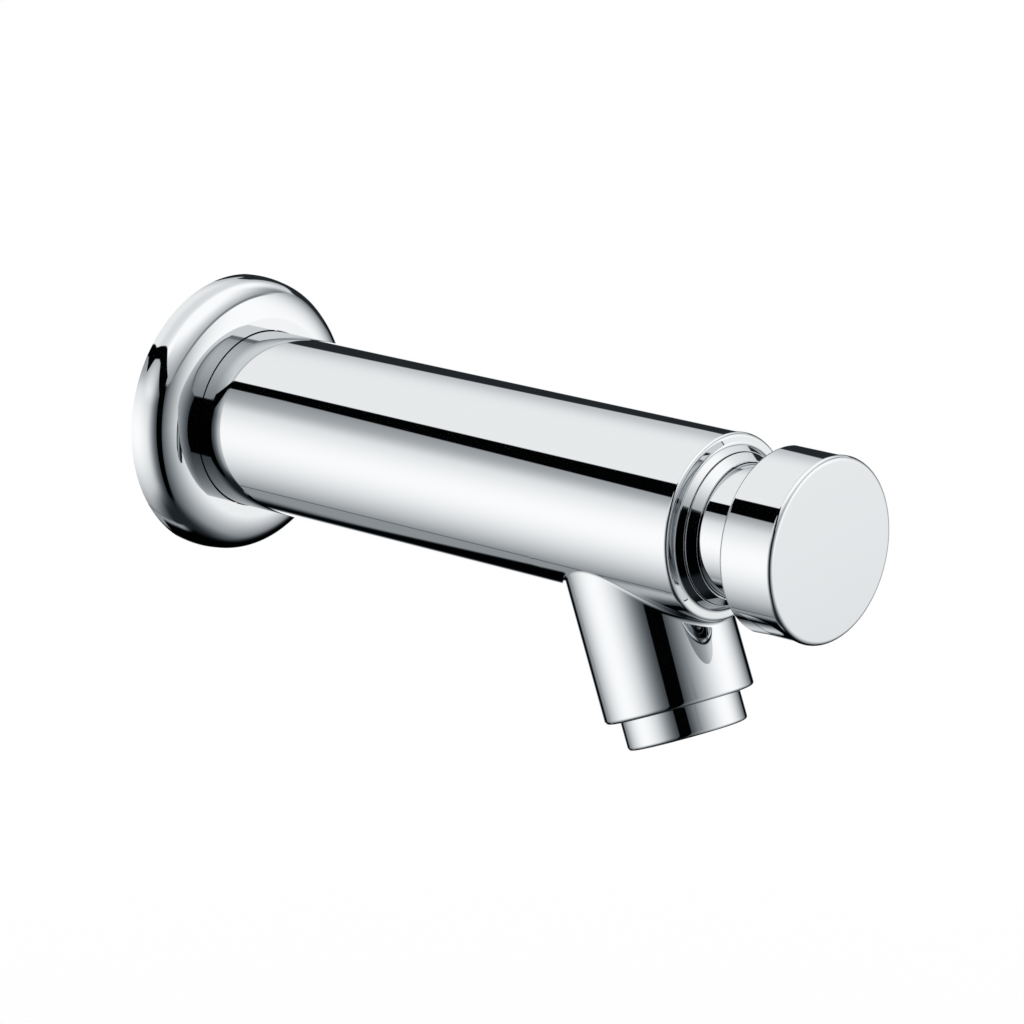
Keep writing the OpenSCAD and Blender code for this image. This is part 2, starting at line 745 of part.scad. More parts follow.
module poppet_nut() {
    color(steel) hex_nut(2 * (spindle_tail_r + poppet_nut_wall), spindle_tail_r + fit_clear,
        poppet_tail - poppet_nut_h, poppet_tail);
}

module return_spring() {
    points = [for (i = [0 : spring_rings]) each helix_ring(i)];
    last = spring_rings * ring_sides;
    walls = [for (i = [0 : spring_rings - 1]) for (k = [0 : ring_sides - 1])
        let (a = i * ring_sides + k, b = i * ring_sides + (k + 1) % ring_sides)
        each [[a, a + ring_sides, b], [b, a + ring_sides, b + ring_sides]]];
    caps = [for (k = [1 : ring_sides - 2]) each [[0, k, k + 1], [last, last + k + 1, last + k]]];
    color(steel) along_tap() polyhedron(points, concat(walls, caps));
}

module spring_cage() {
    slot_low = cage_inside + cage_slot_end;
    slot_len = poppet_rear - cage_slot_end / 2 - slot_low;
    color(grey_plastic) along_tap() difference() {
        rotate_extrude() {
            band(cage_in_r, cage_r, cage_rear, cage_front);
            band(cage_hole_r, cage_r, cage_rear, cage_inside);
        }
        around(cage_slots, 45) translate([0, -cage_slot_w / 2, slot_low])
            cube([cage_r + over, cage_slot_w, slot_len]);
    }
}

module aerator_shell() {
    color(chrome) spout_turned() difference() {
        union() {
            band(0, aerator_thread_r, aerator_top, spout_len + over);
            band(0, aerator_r, spout_len, aerator_end);
        }
        edge_loss(aerator_r, aerator_end, aerator_round, 1);
        band(0, aerator_in_r, aerator_top - over, insert_end);
        band(0, aerator_in_r - aerator_lip / 2, insert_end - over, aerator_end + over);
    }
}

module aerator_gasket() {
    color(rubber) spout_turned()
        band(aerator_in_r - aerator_wall, aerator_thread_r, aerator_ledge, aerator_top);
}

module flow_regulator() {
    color(white_plastic) along_spout() difference() {
        translate([0, 0, regulator_top]) cylinder(h = regulator_t, r = insert_r);
        translate([0, 0, regulator_top - over]) around(regulator_holes)
            translate([regulator_ring_d / 2, 0, 0])
                cylinder(h = regulator_t + 2 * over, d = regulator_hole_d);
        translate([0, 0, regulator_top - over]) cylinder(h = regulator_t / 2 + over, d = regulator_dish_d);
    }
}

module aerator_screens() {
    color(steel) along_spout() for (i = [0 : screen_count - 1])
        translate([0, 0, screen_top + i * (screen_t + screen_gap)]) linear_extrude(screen_t) difference() {
            circle(insert_r);
            square_holes(insert_r - insert_wall, screen_hole, screen_web);
        }
}

module aerator_insert() {
    color(white_plastic) along_spout() {
        translate([0, 0, insert_top]) linear_extrude(insert_end - insert_top) difference() {
            circle(insert_r);
            circle(insert_r - insert_wall);
        }
        translate([0, 0, insert_top]) linear_extrude(grid_t) difference() {
            circle(insert_r - insert_wall / 2);
            around(jet_count) translate([jet_ring_d / 2, 0]) circle(d = jet_d);
        }
        translate([0, 0, insert_end - grid_t]) linear_extrude(grid_t) difference() {
            circle(insert_r - insert_wall / 2);
            square_holes(insert_r - insert_wall, grid_hole, grid_web);
        }
    }
}

wall_rosette();
rosette_gasket();
rosette_o_ring();
tap_body();
inlet_nipple();
inlet_washer();
inlet_strainer();
front_bezel();
push_button();
lock_nut();
spindle();
cartridge_sleeve();
cartridge_cap();
cartridge_gasket();
cartridge_o_ring();
cap_o_ring();
spindle_o_ring();
spindle_bush();
timing_piston();
piston_lip_seal();
piston_clip();
timing_needle();
valve_seat();
poppet();
poppet_washer();
poppet_nut();
return_spring();
spring_cage();
aerator_shell();
aerator_gasket();
flow_regulator();
aerator_screens();
aerator_insert();
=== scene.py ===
"""Looks of a wall-mounted push timed tap: its chrome pieces, inner finishes, studio and camera."""

import json
import math

import bpy
from bpy.props import FloatProperty, FloatVectorProperty, IntProperty, PointerProperty
from mathutils import Matrix, Vector


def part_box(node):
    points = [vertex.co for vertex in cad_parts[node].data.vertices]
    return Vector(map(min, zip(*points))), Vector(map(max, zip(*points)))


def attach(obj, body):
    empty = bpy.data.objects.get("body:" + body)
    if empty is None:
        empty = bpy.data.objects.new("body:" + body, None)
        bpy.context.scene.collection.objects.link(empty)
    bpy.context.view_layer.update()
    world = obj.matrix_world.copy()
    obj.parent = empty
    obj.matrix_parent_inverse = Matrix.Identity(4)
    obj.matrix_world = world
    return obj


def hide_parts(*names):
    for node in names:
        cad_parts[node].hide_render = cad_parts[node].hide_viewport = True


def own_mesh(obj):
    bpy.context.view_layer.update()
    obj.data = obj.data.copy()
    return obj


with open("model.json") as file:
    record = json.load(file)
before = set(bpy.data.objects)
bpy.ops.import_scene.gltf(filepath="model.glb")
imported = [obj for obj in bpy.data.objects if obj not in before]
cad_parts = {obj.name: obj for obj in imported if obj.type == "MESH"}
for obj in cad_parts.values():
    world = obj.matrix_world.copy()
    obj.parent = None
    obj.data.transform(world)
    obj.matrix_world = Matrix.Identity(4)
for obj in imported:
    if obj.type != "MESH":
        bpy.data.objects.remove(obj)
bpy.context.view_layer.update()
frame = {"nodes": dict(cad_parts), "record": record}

bl_info = {
    "name": "Push timed tap",
    "version": (1, 0, 0),
    "blender": (4, 5, 0),
    "location": "View3D > Sidebar > Push tap",
    "description": "Models the chrome of a self-closing wall tap and sets up its studio",
    "category": "Add Mesh",
}

MM = 0.001
TAP_AXIS = Vector((0, -1, 0))
DOWN = Vector((0, 0, -1))
RIGHT = Vector((1, 0, 0))
FULL_TURN = 2 * math.pi

# Arcs of an outline: turn of one step, and how far past an arc its neighbours are held straight
ARC_STEP = math.radians(9)
ARC_HOLD = 0.06 * MM
MERGE_REACH = 0.002 * MM
SMOOTH_ANGLE = math.radians(32)

BLOOM = (0.075, 0.075, 0.078)
CLIP_START = 10 * MM


def half_width(node):
    """Half of a node's width across the tap."""
    low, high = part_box(node)
    return (high.x - low.x) / 2


def wall_span(node):
    """Nearest and furthest distance of a node from the wall."""
    low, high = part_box(node)
    return -high.y, -low.y


def length(name, description, default):
    """A size that a user may change."""
    return FloatProperty(name=name, description=description, default=default, unit="LENGTH", precision=5)


def shade(name, description, default):
    """A colour that a user may change."""
    return FloatVectorProperty(
        name=name, description=description, default=default, subtype="COLOR", min=0, max=1
    )


class TapWallSizes(bpy.types.PropertyGroup):
    """Sizes of the pieces at the wall."""

    rosette_radius: length("Rosette radius", "Outside radius of the rosette", half_width("wall_rosette"))
    rosette_height: length("Rosette height", "Wall to front face", wall_span("wall_rosette")[1])
    rim_side: length("Rim side", "Radius of the rim's arc next to the wall", 13.0 * MM)
    rim_corner: length("Rim corner", "Radius of the rim's middle arc", 5.8 * MM)
    rim_crown: length("Rim crown", "Radius of the rim's arc next to the face", 9.5 * MM)
    rosette_wall: length("Rosette wall", "Thickness of the pressed metal", 1.4 * MM)
    rosette_clear: length("Rosette clearance", "Gap between rosette and body", 0.2 * MM)
    nipple_radius: length("Nipple radius", "Outside radius of the inlet thread", half_width("inlet_nipple"))
    nipple_rear: length("Nipple end", "End of the nipple behind the wall", wall_span("inlet_nipple")[0])
    nipple_front: length("Nipple front", "End of the nipple in the body", wall_span("inlet_nipple")[1])
    nipple_bore: length("Nipple bore", "Radius of the way through", 7.5 * MM)
    nipple_chamfer: length("Nipple chamfer", "Chamfer of its ends", 0.8 * MM)
    nipple_relief: length("Nipple relief", "Depth of the groove at the wall", 0.5 * MM)
    strainer_seat: length("Strainer seat", "Radius of the strainer's recess", 8.8 * MM)
    strainer_depth: length("Strainer depth", "Depth of the strainer's recess", 1.4 * MM)
    thread_pitch: length("Thread pitch", "Rise of the inlet thread in a turn", 1.814 * MM)
    thread_depth: length("Thread depth", "Depth of the inlet thread", 1.16 * MM)


class TapBodySizes(bpy.types.PropertyGroup):
    """Sizes of the body, spout and aerator."""

    radius: length("Body radius", "Outside radius of the body tube", half_width("tap_body"))
    rear: length("Body rear", "Wall to the rear face", 1.5 * MM)
    front: length("Body front", "Wall to the front face", 139.3 * MM)
    front_round: length("Front round", "Rounding of the front edge", 0.8 * MM)
    collar: length("Collar radius", "Radius of the collar's foot on the front face", 16.7 * MM)
    collar_front: length("Collar front", "Wall to the collar's edge at the bezel", 140.955 * MM)
    collar_fillet: length("Collar fillet", "Fillet at the collar's foot", 0.9 * MM)
    rear_chamfer: length("Rear chamfer", "Chamfer of the rear edge", 0.6 * MM)
    grip_radius: length("Grip groove", "Floor radius of the ring groove", 17.6 * MM)
    grip_low: length("Grip groove start", "Wall to the groove", 4.4 * MM)
    grip_high: length("Grip groove end", "Wall to the groove's far side", 6.1 * MM)
    bore: length("Front bore", "Radius round the cartridge", 15.4 * MM)
    shoulder: length("Shoulder", "Wall to the cartridge's seat", 94.8 * MM)
    supply: length("Supply bore", "Radius behind the cartridge", 13.0 * MM)
    taper_low: length("Taper start", "Wall to the taper behind the supply bore", 19.5 * MM)
    taper_high: length("Taper end", "Wall to the supply bore", 23.5 * MM)
    inlet: length("Inlet hole", "Radius round the nipple", 10.575 * MM)
    spout_radius: length("Spout radius", "Outside radius of the spout", 15.7 * MM)
    spout_at: length("Spout foot", "Wall to where the spout's axis leaves the tap's", 112.011 * MM)
    spout_tilt: FloatProperty(
        name="Spout lean",
        description="Lean of the spout to the front",
        default=math.radians(22),
        subtype="ANGLE",
    )
    spout_length: length("Spout length", "Tap's axis to the spout's end", 42.1 * MM)
    spout_round: length("Spout round", "Rounding of the spout's end", 0.9 * MM)
    spout_bore: length("Spout bore", "Radius of the water way", 10.5 * MM)
    spout_roof: length("Spout roof", "Tap's axis to the top of the spout's bore", 24.0 * MM)
    blend: length("Blend", "Radius between spout and body", 1.2 * MM)
    aerator_hole: length("Aerator hole", "Radius of the aerator's thread", 12.0 * MM)
    aerator_ledge: length("Aerator ledge", "Tap's axis to the aerator's seat", 32.6 * MM)
    aerator_radius: length("Aerator radius", "Outside radius of the ring", 12.6 * MM)
    aerator_thread: length("Aerator thread", "Radius of the ring's thread", 11.9 * MM)
    aerator_inside: length("Aerator inside", "Inside radius of the ring", 10.4 * MM)
    aerator_mouth: length("Aerator mouth", "Inside radius of the lip", 9.7 * MM)
    aerator_top: length("Aerator top", "Tap's axis to the ring's top", 34.1 * MM)
    aerator_lip: length("Aerator lip", "Height of the lip under the insert", 1.4 * MM)
    aerator_end: length("Aerator end", "Tap's axis to the ring's lower edge", 48.3 * MM)
    aerator_round: length("Aerator round", "Rounding of the lower edge", 0.8 * MM)


class TapFrontSizes(bpy.types.PropertyGroup):
    """Sizes of the bezel, button and return spring."""

    bezel_rear: length("Bezel rear", "Wall to the bezel's rear end", wall_span("front_bezel")[0])
    bezel_front: length("Bezel front", "Wall to the bezel's nose", wall_span("front_bezel")[1])
    bezel_radius: length("Bezel radius", "Outside radius of the bezel", half_width("front_bezel"))
    bezel_shoulder: length("Bezel shoulder", "Wall to the foot of the bezel's cone", 141.082 * MM)
    bezel_inside: length("Bezel inside", "Inside radius of the bezel", 13.7 * MM)
    bezel_tip: length("Bezel tip", "Width of the nose's flat", 0.25 * MM)
    bezel_edge: length("Bezel edge", "Rounding of the edges at the gap and the nose", 0.1 * MM)
    button_radius: length("Button radius", "Radius of the button", half_width("push_button"))
    button_front: length("Button front", "Wall to the button's face", wall_span("push_button")[1])
    button_rear: length("Button rear", "Wall to the back of the head", 152.1 * MM)
    button_round: length("Button round", "Rounding of the button's edges", 1.0 * MM)
    button_floor: length("Button floor", "Wall to the inside of the button's face", 161.5 * MM)
    hub_radius: length("Hub radius", "Radius of the hub round the spindle", 6.5 * MM)
    hub_hole: length("Hub hole", "Radius of the spindle's hole", 4.1 * MM)
    hub_floor: length("Hub floor", "Wall to the end of the spindle's hole", 160.5 * MM)
    neck_radius: length("Neck radius", "Outside radius of the neck", 13.55 * MM)
    neck_inside: length("Neck inside", "Inside radius of the neck", 11.45 * MM)
    neck_rear: length("Neck rear", "Wall to the neck's end", wall_span("push_button")[0])
    spring_rear: length("Spring rear", "Wall to the spring's seat", wall_span("return_spring")[0])
    spring_front: length("Spring front", "Wall to the spring's front end", wall_span("return_spring")[1])
    spring_wire: length("Spring wire", "Diameter of the spring's wire", 1.2 * MM)
    spring_mean: length("Spring radius", "Mean radius of the spring", 6.3 * MM)
    spring_turns: IntProperty(
        name="Spring turns", description="Turns of the return spring", default=7, min=3
    )


class TapFinishes(bpy.types.PropertyGroup):
    """Colours of the materials."""

    chrome: shade("Chrome", "Polished plating", (0.955, 0.970, 0.980))
    brass: shade("Brass", "Machined brass", (0.80, 0.62, 0.30))
    steel: shade("Steel", "Turned stainless steel", (0.66, 0.67, 0.69))
    rubber: shade("Rubber", "Moulded seals", (0.030, 0.030, 0.032))
    white_plastic: shade("White plastic", "Moulded guide and outlet pieces", (0.80, 0.80, 0.77))
    grey_plastic: shade("Grey plastic", "Moulded cartridge", (0.27, 0.29, 0.32))


class TapStage(bpy.types.PropertyGroup):
    """Camera, floor and light."""

    azimuth: FloatProperty(
        name="Azimuth",
        description="Camera's turn round the tap",
        default=math.radians(-47.906),
        subtype="ANGLE",
    )
    elevation: FloatProperty(
        name="Elevation", description="Camera's height", default=math.radians(14.657), subtype="ANGLE"
    )
    roll: FloatProperty(
        name="Roll", description="Camera's tilt", default=math.radians(0.693), subtype="ANGLE"
    )
    distance: length("Distance", "Camera to target", 0.9289)
    target: FloatVectorProperty(
        name="Target",
        description="Point in the middle of the view",
        default=(0, -0.08181, -0.00748),
        unit="LENGTH",
    )
    lens: FloatProperty(name="Lens", description="Focal length in mm", default=159.1)
    floor_drop: length("Floor drop", "Tap's axis to the floor", 0.22)
    floor_size: length("Floor size", "Side of the floor", 8.0)
    floor: shade("Floor", "Plain floor", (1.0, 1.0, 1.0))


# Shader sums


class Socket:
    """A shader socket that takes part in sums, and adds the nodes that work them out."""

    def __init__(self, tree, output):
        self.tree = tree
        self.output = output

    @classmethod
    def node(cls, tree, kind, settings=None, inputs=None, output=0):
        """A node of any kind: its settings first, then the values or links of its sockets."""
        made = tree.nodes.new(kind)
        for name, value in (settings or {}).items():
            setattr(made, name, value)
        for name, value in (inputs or {}).items():
            if isinstance(value, Socket):
                tree.links.new(value.output, made.inputs[name])
            else:
                made.inputs[name].default_value = value
        return cls(tree, made.outputs[output])

    def math(self, operation, first, second=0.0):
        return Socket.node(self.tree, "ShaderNodeMath", {"operation": operation}, {0: first, 1: second})

    def __add__(self, other):
        return self.math("ADD", self, other)

    __radd__ = __add__

    def __sub__(self, other):
        return self.math("SUBTRACT", self, other)

    def __rsub__(self, other):
        return self.math("SUBTRACT", other, self)

    def __mul__(self, other):
        return self.math("MULTIPLY", self, other)

    __rmul__ = __mul__

    def __pow__(self, other):
        return self.math("POWER", self, other)

    def __abs__(self):
        return self.math("ABSOLUTE", self)

    def larger(self, other):
        return self.math("MAXIMUM", self, other)

    def smaller(self, other):
        return self.math("MINIMUM", self, other)

    def rise(self, low, high):
        """Soft step from 0 at low to 1 at high, or down again where low is the larger."""
        settings = {"interpolation_type": "SMOOTHSTEP"}
        inputs = {"Value": self, "From Min": low, "From Max": high}
        return Socket.node(self.tree, "ShaderNodeMapRange", settings, inputs)

    def blend(self, other, share):
        """This value at share 0, the other at share 1."""
        return self * (1 - share) + share * other


# Finishes


def object_place(tree):
    return Socket.node(tree, "ShaderNodeTexCoord", output="Object")


def noise(tree, place, scale, detail=2.0):
    """Even noise from 0 to 1 whose lumps are about one over scale metres wide."""
    return Socket.node(tree, "ShaderNodeTexNoise", None, {"Vector": place, "Scale": scale, "Detail": detail})


def colour_between(tree, first, second, share):
    inputs = {6: (*first, 1), 7: (*second, 1), "Factor": share}
    return Socket.node(tree, "ShaderNodeMix", {"data_type": "RGBA"}, inputs, output=2)


def bumped(tree, height, distance, strength):
    inputs = {"Height": height, "Distance": distance, "Strength": strength}
    return Socket.node(tree, "ShaderNodeBump", None, inputs)


def dimmed(colour, share):
    return tuple(channel * share for channel in colour)


def new_finish(name):
    """A fresh node material, in place of the frame's plain one: itself, its tree and its shader."""
    plain = bpy.data.materials.get(name)
    if plain:
        bpy.data.materials.remove(plain)
    material = bpy.data.materials.new(name)
    material.use_nodes = True
    tree = material.node_tree
    return material, tree, tree.nodes["Principled BSDF"]


def link(tree, surface, **inputs):
    """Feeds sockets of a surface shader, whose names are written with _ for a space."""
    for name, value in inputs.items():
        socket = surface.inputs[name.replace("_", " ")]
        if isinstance(value, Socket):
            tree.links.new(value.output, socket)
        else:
            socket.default_value = value


def chrome_finish(colour):
    """Mirror plating with a faint haze that comes and goes."""
    material, tree, surface = new_finish("chrome")
    place = object_place(tree)
    haze = noise(tree, place, 90.0)
    plating = colour_between(tree, dimmed(colour, 0.992), colour, noise(tree, place, 35.0))
    link(tree, surface, Base_Color=plating, Metallic=1.0, Roughness=0.012 + 0.016 * haze)
    return material


def turned_metal(name, colour, roughness, ring_scale):
    """Machined metal with fine rings from the lathe and slight staining."""
    material, tree, surface = new_finish(name)
    place = object_place(tree)
    settings = {"bands_direction": "Y", "wave_profile": "SAW"}
    wave = {"Vector": place, "Scale": ring_scale, "Distortion": 1.2, "Detail": 2.0, "Detail Scale": 40.0}
    rings = Socket.node(tree, "ShaderNodeTexWave", settings, wave, output="Fac")
    stain = noise(tree, place, 220.0, 4.0)
    link(
        tree,
        surface,
        Base_Color=colour_between(tree, dimmed(colour, 0.82), colour, stain),
        Metallic=1.0,
        Roughness=roughness + 0.14 * stain - 0.05 * rings,
        Normal=bumped(tree, rings, 0.01 * MM, 0.35),
    )
    return material


def rubber_finish(colour):
    """Matt moulded rubber with a fine grain and a dusty bloom."""
    material, tree, surface = new_finish("rubber")
    place = object_place(tree)
    grain = noise(tree, place, 4200.0, 3.0)
    bloom = noise(tree, place, 160.0, 4.0)
    link(
        tree,
        surface,
        Base_Color=colour_between(tree, colour, BLOOM, bloom),
        Roughness=0.62 + 0.22 * bloom,
        Normal=bumped(tree, grain, 0.05 * MM, 0.45),
    )
    return material


def plastic_finish(name, colour):
    """Moulded plastic with a soft sheen, slight flow marks and a fine spark-eroded grain."""
    material, tree, surface = new_finish(name)
    place = object_place(tree)
    flow = noise(tree, place, 130.0, 3.0)
    grain = noise(tree, place, 5200.0)
    link(
        tree,
        surface,
        Base_Color=colour_between(tree, dimmed(colour, 0.93), colour, flow),
        Roughness=0.36 + 0.16 * flow,
        Normal=bumped(tree, grain, 0.02 * MM, 0.3),
    )
    return material


# Modelling


def only(piece):
    """Selects one object and makes it the active one."""
    bpy.ops.object.select_all(action="DESELECT")
    piece.select_set(True)
    bpy.context.view_layer.objects.active = piece


def edit(piece):
    only(piece)
    bpy.ops.object.mode_set(mode="EDIT")
    bpy.ops.mesh.select_mode(type="VERT")
    bpy.ops.mesh.select_all(action="SELECT")


def rounded(corners, closed):
    """Points of a half outline, whose corners (radius, distance, rounding) become arcs."""
    count = len(corners)
    points = []
    for i, (radius, distance, rounding) in enumerate(corners):
        here = Vector((radius, distance))
        if not rounding or (not closed and i in (0, count - 1)):
            points.append(here)
            continue
        back = (Vector(corners[i - 1][:2]) - here).normalized()
        ahead = (Vector(corners[(i + 1) % count][:2]) - here).normalized()
        half = back.angle(ahead) / 2
        reach = rounding / math.tan(half)
        centre = here + (back + ahead).normalized() * rounding / math.sin(half)
        first = here + back * reach - centre
        sweep = first.angle_signed(here + ahead * reach - centre)
        steps = max(3, math.ceil(abs(sweep) / ARC_STEP))
        points.append(here + back * (reach + ARC_HOLD))
        for k in range(steps + 1):
            points.append(centre + Matrix.Rotation(-sweep * k / steps, 2) @ first)
        points.append(here + ahead * (reach + ARC_HOLD))
    return points


def turned(name, points, start, axis, side, steps, closed=True):
    """Spins a half outline of (radius, distance) points round an axis."""
    places = [start + side * point.x + axis * point.y for point in points]
    bpy.ops.object.select_all(action="DESELECT")
    bpy.ops.mesh.primitive_plane_add(size=MM, location=places[0])
    piece = bpy.context.active_object
    piece.name = name
    piece.data.name = name
    edit(piece)
    bpy.ops.mesh.merge(type="CENTER")
    route = [*places, places[0]] if closed else places
    for here, ahead in zip(route, route[1:]):
        bpy.ops.mesh.extrude_vertices_move(TRANSFORM_OT_translate={"value": ahead - here})
    bpy.ops.mesh.select_all(action="SELECT")
    bpy.ops.mesh.remove_doubles(threshold=MERGE_REACH)
    bpy.ops.mesh.spin(steps=steps, angle=FULL_TURN, center=start, axis=axis)
    bpy.ops.mesh.select_all(action="SELECT")
    bpy.ops.mesh.remove_doubles(threshold=MERGE_REACH)
    bpy.ops.mesh.normals_make_consistent(inside=False)
    bpy.ops.object.mode_set(mode="OBJECT")
    bpy.ops.object.transform_apply(location=True, rotation=True, scale=True)
    return piece


def smooth(piece):
    only(piece)
    bpy.ops.object.shade_smooth_by_angle(angle=SMOOTH_ANGLE)


def seat(piece, body, slot, *nodes):
    """Gives a finished piece its material, its body and the nodes that it stands for."""
    piece.data.materials.clear()
    piece.data.materials.append(bpy.data.materials[slot])
    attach(piece, body)
    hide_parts(*nodes)


# Pieces

RIM_TURNS = (0, math.asin(0.28), math.asin(0.8), math.pi / 2)
RIM_STEP = math.radians(3)
TURN_STEPS = 192
TUBE_STEPS = 144
HOLE_COLUMNS = 48
HOLE_ROWS = 48
HOLE_REAR_ROOM = 1.4 * MM
HOLE_FRONT_ROOM = 0.02 * MM
BLEND_STEPS = 10
BLEND_MARK = 0.5 * MM
BRIDGE_CUTS = 5
THREAD_ROWS = 12
THREAD_RUNOUT = 1.2 * MM
SPRING_SIDES = 12
SPRING_STEPS = 32


class TAP_OT_finishes(bpy.types.Operator):
    """Make the materials and give every construction node its own"""

    bl_idname = "tap.finishes"
    bl_label = "Finishes"

    def execute(self, context):
        colours = context.scene.tap_finishes
        chrome_finish(tuple(colours.chrome))
        turned_metal("brass", tuple(colours.brass), 0.2, 900.0)
        turned_metal("steel", tuple(colours.steel), 0.24, 1200.0)
        rubber_finish(tuple(colours.rubber))
        plastic_finish("white_plastic", tuple(colours.white_plastic))
        plastic_finish("grey_plastic", tuple(colours.grey_plastic))
        for part in frame["record"]["subparts"]:
            mesh = frame["nodes"][part["node"]].data
            mesh.materials.clear()
            mesh.materials.append(bpy.data.materials[part["material_slot"]])
        return {"FINISHED"}


class TAP_OT_rosette(bpy.types.Operator):
    """Turn the domed rosette that covers the hole in the wall"""

    bl_idname = "tap.rosette"
    bl_label = "Wall rosette"

    def rim(self, wall, inset):
        """Points of the rim's three arcs from the wall to the face, set in from the skin."""
        bends = list(zip((wall.rim_side, wall.rim_corner, wall.rim_crown), RIM_TURNS, RIM_TURNS[1:]))
        rise = sum(radius * (math.sin(last) - math.sin(first)) for radius, first, last in bends)
        skin = Vector((wall.rosette_radius, wall.rosette_height - rise))
        points = [Vector((wall.rosette_radius - inset, 0))]
        for radius, first, last in bends:
            centre = skin - radius * Vector((math.cos(first), math.sin(first)))
            steps = math.ceil((last - first) / RIM_STEP)
            for k in range(steps + 1):
                turn = first + (last - first) * k / steps
                points.append(centre + (radius - inset) * Vector((math.cos(turn), math.sin(turn))))
            skin = centre + radius * Vector((math.cos(last), math.sin(last)))
        return [*points, points[-1] - Vector((ARC_HOLD, 0))]

    def execute(self, context):
        wall = context.scene.tap_wall
        body = context.scene.tap_body
        hub = body.radius + wall.rosette_clear
        shell = wall.rosette_wall
        rear = body.rear + body.rear_chamfer
        inside = [(hub, wall.rosette_height), (hub, rear), (hub + shell, rear)]
        inside.append((hub + shell, wall.rosette_height - shell))
        outline = [*self.rim(wall, 0), *map(Vector, inside), *reversed(self.rim(wall, shell))]
        piece = turned("rosette_cover", outline, Vector(), TAP_AXIS, DOWN, TURN_STEPS)
        smooth(piece)
        seat(piece, "tap", "chrome", "wall_rosette")
        return {"FINISHED"}


class SpoutBlend:
    """Path of a ball that rolls in the corner between the body and the spout."""

    def __init__(self, body):
        self.start = TAP_AXIS * body.spout_at
        self.tilt = body.spout_tilt
        self.axis = Vector((0, -math.sin(self.tilt), -math.cos(self.tilt)))
        self.side = Vector((0, math.cos(self.tilt), -math.sin(self.tilt)))
        self.ball = body.blend
        self.ball_body = body.radius + body.blend
        self.ball_spout = body.spout_radius + body.blend

    def drop(self, angle):
        """How far down the spout the ball lies at an angle round it."""
        across = self.ball_spout * math.cos(angle)
        lean = self.ball_spout * math.sin(angle) * math.sin(self.tilt)
        return (math.sqrt(self.ball_body**2 - across**2) - lean) / math.cos(self.tilt)

    def point(self, angle, share):
        """Point of the blend, from the body at share 0 to the spout at share 1."""
        out = math.cos(angle) * RIGHT + math.sin(angle) * self.side
        centre = self.start + self.drop(angle) * self.axis + self.ball_spout * out
        inward = -Vector((centre.x, 0, centre.z)).normalized()
        return centre + self.ball * inward.slerp(-out, share)

    def reach(self):
        """Distances from the wall at which the blend begins and ends."""
        return -self.point(math.pi / 2, 0).y, -self.point(-math.pi / 2, 0).y

    def angle(self, place):
        offset = place - self.start
        return math.atan2(offset.dot(self.side), offset.x)


